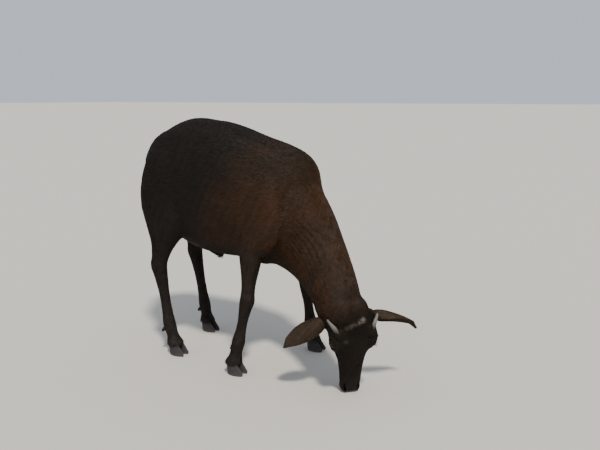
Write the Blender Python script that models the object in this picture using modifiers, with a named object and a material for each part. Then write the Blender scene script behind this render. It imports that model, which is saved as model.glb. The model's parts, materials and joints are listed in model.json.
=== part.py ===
"""A young Cameroon ram grazing, as a still, life-size model: short-haired, small-horned, head down.

Metres, +Z up. The body's length runs along X with the rump at -X, its left side is +Y, and the soles
stand on Z = 0. The flesh is one smooth form, joined from lofts, which thin cuts part into nodes.
"""
import math

import bmesh
import bpy
import numpy as np
from mathutils import Matrix, Vector

GAP = 0.0003  # kept between nodes that touch

# Trunk
RUMP_HEIGHT = 0.577
BELLY_HEIGHT = 0.252
BRISKET_HEIGHT = 0.231
RUMP_X = -0.236
CHEST_X = 0.185
BELLY_WIDTH = 0.208
HIP_WIDTH = 0.186

# Head: where the muzzle rests and how the head is turned
HEAD_LENGTH = 0.205
HEAD_YAW = math.radians(-48)
HEAD_TUCK = math.radians(10)
HEAD_ROLL = math.radians(3)
MUZZLE = Vector((0.340, -0.060, -0.004))
MUZZLE_DROP = 0.044  # of the lips' tip below the forehead's line
EYE_ALONG = 0.063
EYE_SIDE = 0.0380
EYE_UP = -0.0170
EYE_RADIUS = 0.0122
HORN_LENGTH = 0.039
HORN_RADIUS = 0.0062
HORN_ALONG = 0.036
HORN_SIDE = 0.0335
HORN_UP = -0.004
HORN_SUNK = 0.011
EAR_LENGTH = 0.108
EAR_HALF_ARC = 0.030
EAR_WIDEST = 0.28  # of its length, from the root
EAR_THICKNESS = 0.0026
EAR_ROOM = 0.0118  # radius of the room about the ear's root, in which nothing of the head stays
EAR_ROOM_FLARE = 0.5  # how much wider the room grows over each unit of its depth

# Feet: the middle of each sole, right side negative
FRONT_RIGHT_FOOT = (0.080, -0.113)
FRONT_LEFT_FOOT = (0.172, 0.104)
HIND_RIGHT_FOOT = (-0.112, -0.087)
HIND_LEFT_FOOT = (-0.145, 0.087)
CLAW_LENGTH = 0.043
CLAW_WIDTH = 0.0175
CORONET_HEIGHT = 0.030
CLEFT = 0.0030

# Surface
SEGMENTS = 24
RINGS = 4
VOXEL = 0.0030
SMOOTH_ROUNDS = 7
BLEND_ROUNDS = 40
BLEND_ABOVE = 0.27
BODY_TRIANGLES = 6000
HEAD_TRIANGLES = 2200

UP = Vector((0, 0, 1))
LEFT = Vector((0, 1, 0))
FACE = Vector((math.cos(HEAD_YAW), math.sin(HEAD_YAW), 0))
HEAD_UP = math.cos(HEAD_TUCK) * FACE - math.sin(HEAD_TUCK) * UP
HEAD_ALONG = -math.cos(HEAD_TUCK) * UP - math.sin(HEAD_TUCK) * FACE
HEAD_ALONG = Matrix.Rotation(HEAD_ROLL, 3, HEAD_UP) @ HEAD_ALONG
HEAD_LEFT = HEAD_UP.cross(HEAD_ALONG)
POLL = MUZZLE - HEAD_LENGTH * HEAD_ALONG + MUZZLE_DROP * HEAD_UP

MATERIALS = {
    "coat": ((0.030, 0.022, 0.018), 0.75, 0.0),
    "face": ((0.022, 0.019, 0.018), 0.70, 0.0),
    "horn": ((0.42, 0.40, 0.37), 0.45, 0.0),
    "hoof": ((0.16, 0.14, 0.15), 0.55, 0.0),
    "eye": ((0.030, 0.018, 0.010), 0.12, 0.0),
}


def clear_scene():
    for obj in list(bpy.data.objects):
        bpy.data.objects.remove(obj, do_unlink=True)


def new_collection(name, hidden=False):
    group = bpy.data.collections.new(name)
    bpy.context.scene.collection.children.link(group)
    group.hide_render = hidden
    return group


def material(name):
    colour, roughness, metallic = MATERIALS[name]
    made = bpy.data.materials.new(name)
    made.use_nodes = True
    shader = made.node_tree.nodes["Principled BSDF"]
    shader.inputs["Base Color"].default_value = (*colour, 1)
    shader.inputs["Roughness"].default_value = roughness
    shader.inputs["Metallic"].default_value = metallic
    return made


def head_point(along, side, up):
    """A point of the head's own frame: from the poll to the muzzle, to its left, and out of its face."""
    return POLL + along * HEAD_ALONG + side * HEAD_LEFT + up * HEAD_UP


def smooth_rows(rows, steps=RINGS):
    """Rows read from a Catmull-Rom curve through the given rows, with steps of them to a span."""
    rows = np.array(rows, float)
    ends = np.vstack([2 * rows[0] - rows[1], rows, 2 * rows[-1] - rows[-2]])
    made = []
    for i in range(len(rows) - 1):
        a, b, c, d = ends[i:i + 4]
        for k in range(steps):
            t = k / steps
            made.append(0.5 * (2 * b + (c - a) * t + (2 * a - 5 * b + 4 * c - d) * t ** 2
                               + (3 * b - a - 3 * c + d) * t ** 3))
    made.append(rows[-1])
    return [[float(v) for v in row] for row in made]


def mesh_object(name, points, faces, group):
    mesh = bpy.data.meshes.new(name)
    mesh.from_pydata([tuple(p) for p in points], [], faces)
    mesh.update()
    obj = bpy.data.objects.new(name, mesh)
    group.objects.link(obj)
    made = bmesh.new()
    made.from_mesh(mesh)
    bmesh.ops.recalc_face_normals(made, faces=made.faces)
    made.to_mesh(mesh)
    made.free()
    return obj


def loft(name, rows, side, group, square=1.0, domes=(0.6, 0.6), segments=SEGMENTS, steps=RINGS):
    """A closed body through rows of (x, y, z, half width, reach up, reach down).

    side is the direction of its width, or a pair of them for its two ends. square under 1 fills the
    corners of its section. Each dome is the length of a rounded end, in half widths, or 0 for a flat one.
    """
    first, last = (side if isinstance(side, tuple) else (side, side))
    rows = smooth_rows(rows, steps)
    centres = np.array([row[:3] for row in rows])
    tangents = np.gradient(centres, axis=0)
    points, rings = [], []

    def add_ring(centre, tangent, width, up, down, share):
        across = Vector(first).lerp(Vector(last), share)
        across = (across - across.dot(tangent) * tangent).normalized()
        over = tangent.cross(across)
        ring = []
        for k in range(segments):
            angle = 2 * math.pi * k / segments
            c, s = math.cos(angle), math.sin(angle)
            c = math.copysign(abs(c) ** square, c)
            s = math.copysign(abs(s) ** square, s)
            ring.append(len(points))
            points.append(centre + c * width * across + s * (up if s > 0 else down) * over)
        rings.append(ring)

    def add_dome(row, tangent, length, share, shrinking):
        for angle in ((30, 60) if shrinking else (60, 30)):
            scale, out = math.cos(math.radians(angle)), math.sin(math.radians(angle))
            shift = out * length * row[3] * (1 if shrinking else -1)
            add_ring(Vector(row[:3]) + shift * tangent, tangent, *(scale * v for v in row[3:6]), share)

    tangents = [Vector(t).normalized() for t in tangents]
    if domes[0]:
        add_dome(rows[0], tangents[0], domes[0], 0.0, False)
    for i, row in enumerate(rows):
        add_ring(Vector(row[:3]), tangents[i], row[3], row[4], row[5], i / (len(rows) - 1))
    if domes[1]:
        add_dome(rows[-1], tangents[-1], domes[1], 1.0, True)
    faces = []
    for a, b in zip(rings, rings[1:]):
        for k in range(segments):
            j = (k + 1) % segments
            faces.append((a[k], a[j], b[j]))
            faces.append((a[k], b[j], b[k]))
    for ring, row, tangent, length, sign in ((rings[0], rows[0], tangents[0], domes[0], -1),
                                             (rings[-1], rows[-1], tangents[-1], domes[1], 1)):
        tip = len(points)
        points.append(Vector(row[:3]) + sign * length * row[3] * tangent)
        for k in range(segments):
            faces.append((ring[k], ring[(k + 1) % segments], tip))
    return mesh_object(name, points, faces, group)


def head_loft(name, rows, group, **options):
    """A loft whose rows are (along, side, up, half width, reach out of the face, reach down) of the head."""
    placed = [(*head_point(*row[:3]), *row[3:]) for row in rows]
    return loft(name, placed, HEAD_LEFT, group, **options)


def oval(name, centre, radii, axes, group):
    """An ellipsoid with its radii along three axes."""
    mesh = bpy.data.meshes.new(name)
    made = bmesh.new()
    bmesh.ops.create_uvsphere(made, u_segments=16, v_segments=10, radius=1)
    turn = Matrix([axes[0], axes[1], axes[2]]).transposed().to_4x4()
    size = Matrix.Diagonal((*radii, 1))
    bmesh.ops.transform(made, matrix=Matrix.Translation(centre) @ turn @ size, verts=made.verts)
    bmesh.ops.recalc_face_normals(made, faces=made.faces)
    made.to_mesh(mesh)
    made.free()
    obj = bpy.data.objects.new(name, mesh)
    group.objects.link(obj)
    return obj


def region(name, planes, group, grow=0.0):
    """The convex body behind each plane, given as (point, outward normal), moved out by grow."""
    made = bmesh.new()
    bmesh.ops.create_cube(made, size=3)
    for point, normal in planes:
        normal = Vector(normal).normalized()
        cut = bmesh.ops.bisect_plane(made, geom=made.verts[:] + made.edges[:] + made.faces[:],
                                     plane_co=Vector(point) + grow * normal, plane_no=normal,
                                     clear_outer=True)
        edges = [e for e in cut["geom_cut"] if isinstance(e, bmesh.types.BMEdge)]
        bmesh.ops.contextual_create(made, geom=edges)
    bmesh.ops.recalc_face_normals(made, faces=made.faces)
    mesh = bpy.data.meshes.new(name)
    made.to_mesh(mesh)
    made.free()
    obj = bpy.data.objects.new(name, mesh)
    obj.display_type = "WIRE"
    obj.hide_render = True
    group.objects.link(obj)
    return obj


def apply_modifiers(obj):
    graph = bpy.context.evaluated_depsgraph_get()
    mesh = bpy.data.meshes.new_from_object(obj.evaluated_get(graph))
    obj.modifiers.clear()
    obj.data = mesh
    return obj


def keep_largest(obj):
    """Only the largest closed surface of a mesh stays, by its volume."""
    made = bmesh.new()
    made.from_mesh(obj.data)
    seen, shells = set(), []
    for start in made.verts:
        if start in seen:
            continue
        shell, front = set(), [start]
        seen.add(start)
        while front:
            vert = front.pop()
            shell.add(vert)
            for edge in vert.link_edges:
                other = edge.other_vert(vert)
                if other not in seen:
                    seen.add(other)
                    front.append(other)
        shells.append(shell)
    if len(shells) > 1:
        def size(shell):
            spans = [max(v.co[i] for v in shell) - min(v.co[i] for v in shell) for i in range(3)]
            return spans[0] * spans[1] * spans[2]
        largest = max(shells, key=size)
        bmesh.ops.delete(made, geom=[v for v in made.verts if v not in largest], context="VERTS")
        made.to_mesh(obj.data)
    made.free()
    return obj


def is_closed(obj):
    made = bmesh.new()
    made.from_mesh(obj.data)
    closed = all(edge.is_manifold for edge in made.edges)
    made.free()
    return closed


def boolean(obj, operation, other):
    """obj after a Boolean with one object or with a collection, applied."""
    step = obj.modifiers.new(operation.lower(), "BOOLEAN")
    step.operation = operation
    others = other.objects if isinstance(other, bpy.types.Collection) else [other]
    step.solver = "MANIFOLD" if all(map(is_closed, [obj, *others])) else "EXACT"
    if isinstance(other, bpy.types.Collection):
        step.operand_type = "COLLECTION"
        step.collection = other
    else:
        step.object = other
    return keep_largest(apply_modifiers(obj))


def copy_of(obj, name, group):
    made = obj.copy()
    made.data = obj.data.copy()
    made.name = name
    group.objects.link(made)
    return made


def remove_all(group):
    for obj in list(group.objects):
        bpy.data.objects.remove(obj, do_unlink=True)


def thin_out(obj, triangles):
    """The mesh brought down to about so many triangles."""
    obj.data.calc_loop_triangles()
    step = obj.modifiers.new("thin", "DECIMATE")
    step.ratio = min(1.0, triangles / len(obj.data.loop_triangles))
    step.use_collapse_triangulate = True
    return mend(apply_modifiers(obj))


def mend(obj):
    """Edges that more or fewer than two faces share are taken out with their faces, and the holes closed."""
    made = bmesh.new()
    made.from_mesh(obj.data)
    bmesh.ops.dissolve_degenerate(made, dist=0.00001, edges=made.edges[:])
    for _ in range(3):
        bad = [edge for edge in made.edges if not edge.is_manifold]
        if not bad:
            break
        crowded = {face for edge in bad if len(edge.link_faces) > 2 for face in edge.link_faces}
        bmesh.ops.delete(made, geom=list(crowded), context="FACES")
        bmesh.ops.delete(made, geom=[e for e in made.edges if not e.link_faces], context="EDGES")
        bmesh.ops.holes_fill(made, edges=[e for e in made.edges if e.is_boundary], sides=0)
    bmesh.ops.triangulate(made, faces=[f for f in made.faces if len(f.verts) > 3])
    bmesh.ops.recalc_face_normals(made, faces=made.faces)
    made.to_mesh(obj.data)
    made.free()
    return obj


def finish_node(obj, name, look, group):
    obj.name = name
    obj.data.name = name
    obj.data.materials.clear()
    obj.data.materials.append(look)
    for old in list(obj.users_collection):
        old.objects.unlink(obj)
    group.objects.link(obj)
    obj.data.shade_smooth()
    obj.data.set_sharp_from_angle(angle=math.radians(50))
    return obj


# Trunk and neck

def build_trunk(group):
    belly, hip = BELLY_WIDTH / 2, HIP_WIDTH / 2
    middle = 0.5 * (RUMP_HEIGHT + BELLY_HEIGHT)
    outline = (  # x, top, bottom, half width
        (RUMP_X + 0.010, 0.508, 0.372, 0.52 * hip),
        (RUMP_X + 0.036, 0.543, 0.335, 0.78 * hip),
        (-0.165, 0.568, 0.300, 0.94 * hip),
        (-0.110, RUMP_HEIGHT, 0.276, hip),
        (-0.050, RUMP_HEIGHT - 0.003, BELLY_HEIGHT + 0.003, 0.96 * belly),
        (0.010, 0.560, BELLY_HEIGHT - 0.003, belly),
        (0.065, 0.541, BELLY_HEIGHT - 0.004, 0.94 * belly),
        (0.115, 0.527, BRISKET_HEIGHT + 0.006, 0.80 * belly),
        (0.155, 0.506, BRISKET_HEIGHT, 0.66 * belly),
        (CHEST_X, 0.455, BRISKET_HEIGHT + 0.018, 0.46 * belly),
    )
    rows = []
    for x, top, bottom, half in outline:
        level = bottom + 0.46 * (top - bottom) if x > RUMP_X + 0.05 else 0.5 * (top + bottom)
        level = min(level, middle + 0.02)
        rows.append((x, 0, level, half, top - level, level - bottom))
    loft("trunk", rows, LEFT, group, square=0.90, domes=(0.45, 0.55), segments=32)
    loft("spine", ((-0.228, 0, 0.486, 0.018, 0.012, 0.04), (-0.19, 0, 0.530, 0.022, 0.014, 0.05),
                   (-0.10, 0, 0.560, 0.024, 0.018, 0.05),
                   (0.00, 0, 0.546, 0.022, 0.017, 0.05), (0.08, 0, 0.522, 0.020, 0.016, 0.05),
                   (0.13, 0, 0.508, 0.022, 0.022, 0.05), (0.17, 0, 0.478, 0.018, 0.016, 0.05)),
         LEFT, group)


def build_neck(group):
    nape = head_point(0.020, 0, -0.038)
    loft("neck", ((0.070, 0.000, 0.395, 0.072, 0.124, 0.130),
                  (0.136, 0.000, 0.366, 0.068, 0.122, 0.134),
                  (0.196, -0.004, 0.322, 0.060, 0.100, 0.112),
                  (0.246, -0.022, 0.276, 0.053, 0.080, 0.086),
                  (0.296, -0.056, 0.228, 0.049, 0.067, 0.070),
                  (0.338, -0.096, 0.186, 0.046, 0.057, 0.058),
                  (nape.x, nape.y, nape.z, 0.042, 0.044, 0.046)),
         (LEFT, HEAD_LEFT), group, square=0.94)


def build_shoulder(side, elbow, group):
    """The blade, the point of the shoulder and the upper arm of one side."""
    loft(f"blade_{side}", ((0.112, side * 0.036, 0.486, 0.020, 0.034, 0.044),
                           (0.120, side * 0.055, 0.436, 0.026, 0.050, 0.064),
                           (0.134, side * 0.063, 0.382, 0.029, 0.050, 0.070),
                           (0.144, side * 0.065, 0.335, 0.029, 0.042, 0.066)),
         LEFT, group)
    loft(f"upper_arm_{side}", ((0.146, side * 0.066, 0.362, 0.027, 0.038, 0.050),
                               (0.132, side * 0.072, 0.320, 0.029, 0.038, 0.054),
                               (elbow.x, elbow.y, elbow.z + 0.002, 0.025, 0.029, 0.036)),
         LEFT, group)


def leg_rows(joints, sizes):
    """Rows along the polyline of joints: each size is (joint, share to the next, width, front, back)."""
    rows = []
    for joint, share, width, front, back in sizes:
        at = joints[joint].lerp(joints[min(joint + 1, len(joints) - 1)], share)
        rows.append((*at, width, front, back))
    return rows


FRONT_SIZES = (  # elbow, carpus, fetlock, coronet
    (0, 0.00, 0.0250, 0.0290, 0.0330), (0, 0.25, 0.0215, 0.0250, 0.0260), (0, 0.60, 0.0160, 0.0180, 0.0175),
    (0, 0.85, 0.0150, 0.0160, 0.0150), (1, 0.00, 0.0172, 0.0180, 0.0160), (1, 0.20, 0.0142, 0.0138, 0.0150),
    (1, 0.50, 0.0108, 0.0112, 0.0120), (1, 0.80, 0.0118, 0.0118, 0.0130), (2, 0.00, 0.0155, 0.0142, 0.0165),
    (2, 0.50, 0.0140, 0.0130, 0.0130), (2, 0.95, 0.0175, 0.0165, 0.0160), (2, 1.00, 0.0178, 0.0170, 0.0170))

HIND_SIZES = (  # stifle, hock, fetlock, coronet
    (0, 0.00, 0.0360, 0.0420, 0.0600), (0, 0.30, 0.0300, 0.0340, 0.0460), (0, 0.62, 0.0190, 0.0200, 0.0270),
    (0, 0.85, 0.0150, 0.0165, 0.0235), (1, 0.00, 0.0170, 0.0190, 0.0250), (1, 0.17, 0.0150, 0.0155, 0.0190),
    (1, 0.50, 0.0118, 0.0118, 0.0135), (1, 0.80, 0.0125, 0.0120, 0.0140), (2, 0.00, 0.0155, 0.0142, 0.0170),
    (2, 0.50, 0.0140, 0.0130, 0.0130), (2, 0.95, 0.0175, 0.0165, 0.0160), (2, 1.00, 0.0178, 0.0170, 0.0170))

LEGS = {  # elbow or stifle, carpus or hock, fetlock, foot
    "leg_front_right": (
        (0.104, -0.078, 0.292), (0.106, -0.104, 0.176), (0.086, -0.110, 0.078), FRONT_RIGHT_FOOT),
    "leg_front_left": (
        (0.118, 0.078, 0.292), (0.146, 0.098, 0.172), (0.158, 0.103, 0.074), FRONT_LEFT_FOOT),
    "leg_hind_right": (
        (-0.122, -0.070, 0.345), (-0.162, -0.086, 0.222), (-0.136, -0.087, 0.074), HIND_RIGHT_FOOT),
    "leg_hind_left": (
        (-0.128, 0.070, 0.345), (-0.186, 0.086, 0.222), (-0.160, 0.087, 0.072), HIND_LEFT_FOOT),
}


def coronet(foot):
    """The middle of the flat on which the claws of a foot end."""
    return Vector((foot[0] - 0.008, foot[1], CORONET_HEIGHT))


def build_leg(name, group):
    first, second, third, foot = LEGS[name]
    joints = [Vector(first), Vector(second), Vector(third), coronet(foot) - 0.006 * UP]
    sizes = FRONT_SIZES if "front" in name else HIND_SIZES
    side = 1 if foot[1] > 0 else -1
    if "front" in name:
        build_shoulder(side, joints[0], group)
    else:
        build_thigh(side, joints[0], joints[1], group)
    loft(name, leg_rows(joints, sizes), LEFT, group, domes=(0.5, 0.3), square=0.95)


def build_thigh(side, stifle, hock, group):
    """The rump muscle, the thigh and the hamstring of one side."""
    loft(f"rump_{side}", ((-0.080, side * 0.036, 0.500, 0.036, 0.038, 0.050),
                          (-0.150, side * 0.034, 0.490, 0.042, 0.052, 0.060),
                          (-0.200, side * 0.028, 0.448, 0.034, 0.028, 0.050)),
         LEFT, group)
    loft(f"thigh_{side}", ((-0.142, side * 0.044, 0.505, 0.032, 0.058, 0.046),
                           (-0.150, side * 0.056, 0.470, 0.036, 0.070, 0.060),
                           (-0.150, side * 0.062, 0.420, 0.037, 0.076, 0.078),
                           (-0.138, side * 0.066, 0.375, 0.036, 0.064, 0.090),
                           (stifle.x, side * 0.070, 0.335, 0.033, 0.046, 0.078)),
         LEFT, group)
    loft(f"ham_{side}", ((-0.196, side * 0.048, 0.440, 0.030, 0.040, 0.034),
                         (-0.196, side * 0.055, 0.390, 0.030, 0.040, 0.036),
                         (-0.186, side * 0.066, 0.335, 0.025, 0.036, 0.030),
                         (hock.x - 0.012, side * 0.079, 0.278, 0.0140, 0.022, 0.015),
                         (hock.x - 0.015, side * 0.084, 0.240, 0.0095, 0.013, 0.0085)),
         LEFT, group)


def build_groin(group):
    loft("sheath", ((-0.110, 0, 0.283, 0.016, 0.020, 0.014), (-0.070, 0, 0.262, 0.014, 0.020, 0.012),
                    (-0.046, 0, 0.249, 0.011, 0.016, 0.011), (-0.034, 0, 0.242, 0.007, 0.008, 0.007)),
         LEFT, group)
    loft("purse", ((-0.158, 0, 0.350, 0.026, 0.022, 0.022), (-0.160, 0, 0.322, 0.025, 0.020, 0.022),
                   (-0.160, 0, 0.304, 0.020, 0.016, 0.018)),
         LEFT, group)

def build_tail(name, grow, group):
    """The tail, its root sunk in the rump, hanging close behind it."""
    rows = []
    for back, height, width, reach in ((-0.022, 0.508, 0.0130, 0.0110), (-0.002, 0.496, 0.0130, 0.0100),
                                       (0.008, 0.466, 0.0125, 0.0080), (0.010, 0.420, 0.0115, 0.0070),
                                       (0.009, 0.365, 0.0090, 0.0060), (0.008, 0.325, 0.0055, 0.0045)):
        rows.append((RUMP_X - back, 0, height, width + grow, reach + grow, reach + grow))
    return loft(name, rows, LEFT, group, segments=12, steps=2, domes=(0.2, 0.8))


# Head

EYE_LOOK = Vector((0.86, 0.22, 0.46))  # of the left eye: to the side, to the muzzle, out of the face
HORN_WAY = Vector((0.60, -0.70, -0.45))  # of the left horn, the same way round
HORN_ROOT_WAY = Vector((-0.62, 0.38, -0.75))
EAR_WAYS = {-1: Vector((0.86, 0.50, -0.30)), 1: Vector((0.86, 0.25, 0.00))}  # the right ear hangs lower
# The way each ear's cup opens
EAR_OPENINGS = {-1: Vector((0.20, 0.85, -0.55)), 1: Vector((0.20, 0.75, 0.50))}
EAR_ROOT = Vector((0.022, 0.042, -0.046))
SIDES = {"right": -1, "left": 1}


def head_way(way, side):
    """A direction of the head's frame, mirrored for the right side."""
    return (side * way[0] * HEAD_LEFT + way[1] * HEAD_ALONG + way[2] * HEAD_UP).normalized()


def head_oval(name, place, radii, group):
    """An oval at a place of the head's frame, its radii to the side, along and out of the face."""
    axes = (HEAD_LEFT, HEAD_ALONG, HEAD_UP)
    return oval(name, head_point(*place), radii, axes, group)


def build_head(group):
    head_loft("skull", ((-0.010, 0, -0.042, 0.034, 0.032, 0.036), (0.014, 0, -0.038, 0.041, 0.039, 0.040),
                        (0.042, 0, -0.036, 0.043, 0.043, 0.036), (0.070, 0, -0.036, 0.039, 0.041, 0.030),
                        (0.104, 0, -0.036, 0.030, 0.035, 0.026), (0.142, 0, -0.037, 0.0240, 0.028, 0.020),
                        (0.172, 0, -0.038, 0.0225, 0.022, 0.017), (0.190, 0, -0.041, 0.018, 0.015, 0.012)),
              group, square=0.92)
    head_loft("jaw", ((0.018, 0, -0.072, 0.029, 0.034, 0.022), (0.052, 0, -0.076, 0.030, 0.034, 0.022),
                      (0.090, 0, -0.070, 0.0260, 0.030, 0.019), (0.130, 0, -0.063, 0.0210, 0.026, 0.0145),
                      (0.163, 0, -0.058, 0.0180, 0.019, 0.0110), (0.185, 0, -0.055, 0.0145, 0.011, 0.0085)),
              group, square=0.95)
    for name, side in SIDES.items():
        head_loft(f"cheek_{name}", ((0.030, side * 0.024, -0.062, 0.015, 0.026, 0.026),
                                    (0.062, side * 0.023, -0.058, 0.016, 0.028, 0.028),
                                    (0.100, side * 0.016, -0.053, 0.013, 0.020, 0.020),
                                    (0.140, side * 0.0115, -0.049, 0.0105, 0.014, 0.014),
                                    (0.172, side * 0.010, -0.047, 0.0090, 0.010, 0.010)), group)
        head_loft(f"brow_{name}", ((0.022, side * 0.028, -0.026, 0.018, 0.016, 0.020),
                                   (0.048, side * 0.034, -0.018, 0.017, 0.015, 0.020),
                                   (EYE_ALONG, side * 0.0375, EYE_UP + 0.001, 0.0150, 0.0160, 0.0180),
                                   (0.084, side * 0.0290, -0.026, 0.0115, 0.0120, 0.0140),
                                   (0.112, side * 0.0200, -0.036, 0.0095, 0.0090, 0.0100)), group)
        head_loft(f"arch_{name}", ((0.020, side * 0.036, -0.050, 0.0100, 0.013, 0.016),
                                   (0.042, side * 0.039, -0.040, 0.0105, 0.013, 0.016),
                                   (0.064, side * 0.036, -0.030, 0.0120, 0.013, 0.016)), group)
        head_oval(f"nostril_wing_{name}", (0.186, side * 0.012, -0.032), (0.0095, 0.0125, 0.0105), group)
        head_oval(f"upper_lip_{name}", (0.186, side * 0.010, -0.044), (0.0125, 0.0175, 0.0090), group)
        head_oval(f"horn_seat_{name}", (HORN_ALONG + 0.003, side * (HORN_SIDE - 0.001), HORN_UP - 0.004),
                  (0.0115, 0.0145, 0.0110), group)
        root = head_point(EAR_ROOT.x, side * EAR_ROOT.y, EAR_ROOT.z)
        way = head_way(EAR_WAYS[side], side)
        start, end = root - 0.018 * way, root + 0.010 * way
        loft(f"ear_root_{name}", ((*start, 0.0150, 0.0150, 0.0150), (*root, 0.0130, 0.0130, 0.0130),
                                  (*end, 0.0105, 0.0105, 0.0105)), HEAD_ALONG, group, domes=(0.6, 0.2))
    head_oval("chin", (0.182, 0, -0.061), (0.0125, 0.014, 0.0085), group)


def eye_centre(side):
    return head_point(EYE_ALONG, side * EYE_SIDE, EYE_UP)


def build_eye(name, side, radius, group):
    """The eyeball, with the clear bulge of its front."""
    look = head_way(EYE_LOOK, side)
    axes = (look, look.cross(HEAD_UP).normalized(), look.cross(look.cross(HEAD_UP)).normalized())
    return oval(name, eye_centre(side), (radius, radius, radius), axes, group)


def cut_eye(head, side, group):
    """The opening between the lids, then the socket, which fits the eyeball."""
    look = head_way(EYE_LOOK, side)
    centre = eye_centre(side)
    slit = (head_way((-0.15, 1, -0.25), side)).normalized()
    start, end = centre + 0.004 * look, centre + 0.030 * look
    opening = loft("opening", ((*start, 0.0100, 0.0060, 0.0055), (*end, 0.0125, 0.0090, 0.0080)),
                   slit, group, square=1.25, domes=(0, 0), segments=20, steps=1)
    boolean(head, "DIFFERENCE", opening)
    boolean(head, "DIFFERENCE", build_eye("socket", side, EYE_RADIUS + GAP, group))


def cut_nostril(head, side, group):
    """A comma-shaped opening that slants down and in."""
    start = head_point(0.170, side * 0.0165, -0.0215)
    middle = head_point(0.1865, side * 0.0135, -0.0265)
    end = head_point(0.197, side * 0.0060, -0.0345)
    inward = head_way((-0.35, -0.35, -0.85), side)
    rows = []
    for at, width, reach in ((start, 0.0013, 0.004), (middle, 0.0034, 0.0055), (end, 0.0014, 0.004)):
        rows.append((*at, width, reach, reach))
    nostril = loft("nostril", rows, inward.cross(end - start).normalized(), group, segments=12, steps=3)
    boolean(head, "DIFFERENCE", nostril)


def cut_mouth(head, group):
    """The line between the lips, from the tip of the muzzle back to the corners."""
    rows = ((0.150, 0, -0.0535, 0.030, 0.0004, 0.0004), (0.175, 0, -0.0530, 0.030, 0.0006, 0.0006),
            (0.212, 0, -0.0520, 0.030, 0.0008, 0.0008))
    boolean(head, "DIFFERENCE", head_loft("mouth", rows, group, domes=(0, 0), segments=8, steps=1))


def horn_rows(side, grow):
    """Rows of the horn's curve: out of the skull, then out to the side and back, hooking in a little."""
    base = head_point(HORN_ALONG, side * HORN_SIDE, HORN_UP)
    way = head_way(HORN_WAY, side)
    hook = head_way((-0.35, 0.25, -0.9), side)
    sunk = base + (HORN_SUNK + grow) * head_way(HORN_ROOT_WAY, side)
    radius = HORN_RADIUS + grow
    rows = [(*sunk, radius, radius, radius)]
    for share in (0.0, 0.25, 0.5, 0.75, 1.0):
        radius = HORN_RADIUS * (1 - 0.62 * share ** 1.3) + grow
        at = base + share * HORN_LENGTH * way + 0.006 * share ** 2 * hook
        rows.append((*at, radius, 0.92 * radius, 0.92 * radius))
    return rows


def build_horn(name, side, grow, group):
    rows = horn_rows(side, grow)
    return loft(name, rows, HEAD_ALONG, group, segments=12, steps=1, domes=(0, 1.4))


def ear_planes(side):
    """The flat on which the ear meets its root."""
    way = head_way(EAR_WAYS[side], side)
    return head_point(EAR_ROOT.x, side * EAR_ROOT.y, EAR_ROOT.z) + 0.006 * way, way


def cut_ear_root(head, side, group):
    """Everything of the root past the flat goes, in a flaring round room."""
    at, way = ear_planes(side)
    across = way.cross(HEAD_UP).normalized()
    over = way.cross(across)
    planes = [(at, -way), (at + 0.3 * EAR_LENGTH * way, way)]
    for k in range(12):
        out = math.cos(math.pi * k / 6) * across + math.sin(math.pi * k / 6) * over
        planes.append((at + EAR_ROOM * out, out - EAR_ROOM_FLARE * way))
    boolean(head, "DIFFERENCE", region("ear_room", planes, group))


def build_ear(name, side, group, cutters):
    """A leaf rolled to a tube at its root and opening to a shallow cup, drooping to its tip."""
    at, way = ear_planes(side)
    opening = head_way(EAR_OPENINGS[side], side)
    opening = (opening - opening.dot(way) * way).normalized()
    across = way.cross(opening)
    droop = head_way((-0.10, 0.75, 0.10), side)
    columns, count = 10, 9
    points, faces = [], []
    for i in range(count + 1):
        share = i / count
        centre = at + share * EAR_LENGTH * way + 0.020 * share ** 2 * droop
        if share < EAR_WIDEST:
            arc = EAR_HALF_ARC * (0.70 + 0.30 * math.sin(0.5 * math.pi * share / EAR_WIDEST))
        else:
            past = (share - EAR_WIDEST) / (1.01 - EAR_WIDEST)
            arc = EAR_HALF_ARC * (1 - past ** 1.6) ** 0.72
        curl = 2.3 * (1 - share) ** 2.2 + 0.55
        radius = arc / curl
        for k in range(columns + 1):
            angle = curl * (2 * k / columns - 1)
            depth = radius * (1 - math.cos(angle)) - min(radius, 0.013)
            points.append(centre + radius * math.sin(angle) * across + depth * opening)
    for i in range(count):
        for k in range(columns):
            a = i * (columns + 1) + k
            faces.append((a, a + 1, a + columns + 2, a + columns + 1))
    ear = mesh_object(name, points, faces, group)
    shell = ear.modifiers.new("shell", "SOLIDIFY")
    shell.thickness = EAR_THICKNESS
    shell.offset = 0
    shell.use_even_offset = True
    behind = region("ear_flat", [(at + GAP * way, way)], cutters)
    return boolean(apply_modifiers(ear), "DIFFERENCE", behind)


# Feet

def claw_outline(length, width, side):
    """Half-width and place along one claw, heel to toe, round to the outside and straight inside."""
    made = []
    for k in range(14):
        angle = 2 * math.pi * k / 14
        along = 0.5 * length * math.cos(angle)
        taper = 1 - 0.42 * max(0.0, math.cos(angle)) ** 1.5
        reach = 0.5 * width * math.sin(angle) * taper
        if reach * side < 0:
            reach *= 0.72
        made.append((along, reach))
    return made


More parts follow.
